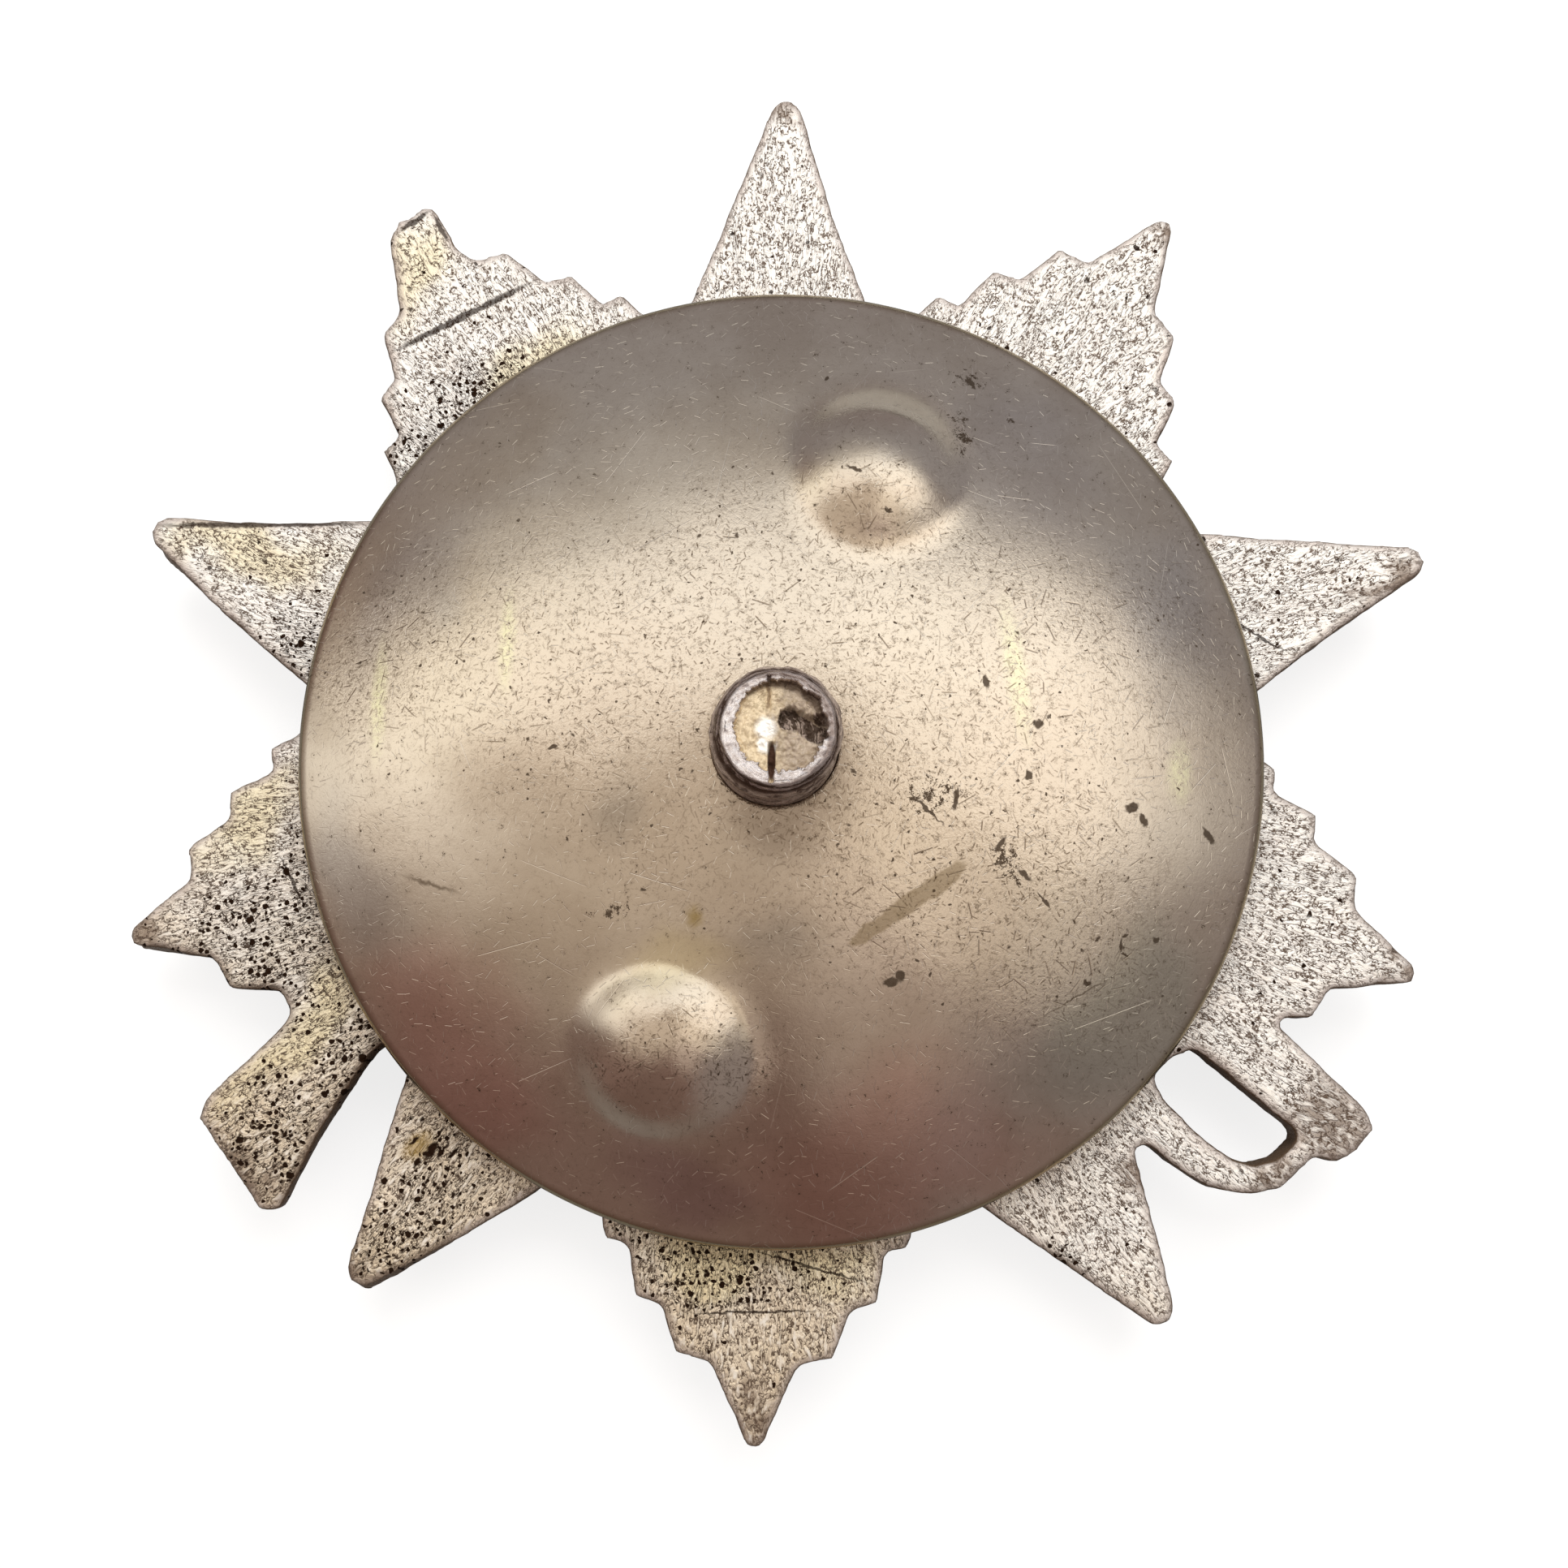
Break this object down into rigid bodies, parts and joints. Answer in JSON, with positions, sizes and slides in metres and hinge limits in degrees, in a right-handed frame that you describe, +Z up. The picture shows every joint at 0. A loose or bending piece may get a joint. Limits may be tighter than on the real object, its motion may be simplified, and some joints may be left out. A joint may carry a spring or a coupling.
{
  "type": "screw-back breast star",
  "caption": "Flat metal breast star with stepped ray bundles, lying face down, with a threaded post and a large domed nut on its back.",
  "frame": {"origin": "centre of the star's outline, on the surface that it lies on, which is the lowest plane of the belt ring's rims", "axes": "+Z up, from the star's front to its back, along the screw post; +Y toward the top point; +X to the right as the back is seen"},
  "size_m": [0.0428, 0.045, 0.0101],
  "materials": {
    "star_silver": "matt cast silver, pitted and tarnished",
    "nut_metal": "worn satin nickel silver with fine scratches",
    "red_enamel": "gloss",
    "white_enamel": "gloss",
    "gilt_star": "gilt"
  },
  "bodies": {
    "star": {"star_plate": "star_silver", "enamel_point_1": "red_enamel", "enamel_point_2": "red_enamel", "enamel_point_3": "red_enamel", "enamel_point_4": "red_enamel", "enamel_point_5": "red_enamel", "belt_enamel": "white_enamel", "centre_enamel": "red_enamel", "centre_star": "gilt_star"},
    "collar": {"nut_collar": "nut_metal"},
    "disc": {"nut_disc": "nut_metal"}
  },
  "joints": [
    {"name": "nut_rise", "type": "slide", "parent": "star", "child": "collar", "axis": [0, 0, 1], "range_m": [-0.00035, 0.01015]},
    {"name": "nut_turn", "type": "hinge", "parent": "collar", "child": "disc", "pos_m": [0.0003, -0.0004, 0], "axis": [0, 0, 1], "range_deg": [-180, 5220]}
  ],
  "couplings": [
    {"joint": "nut_rise", "follows": "nut_turn", "m_per_rad": 0.0001114}
  ]
}
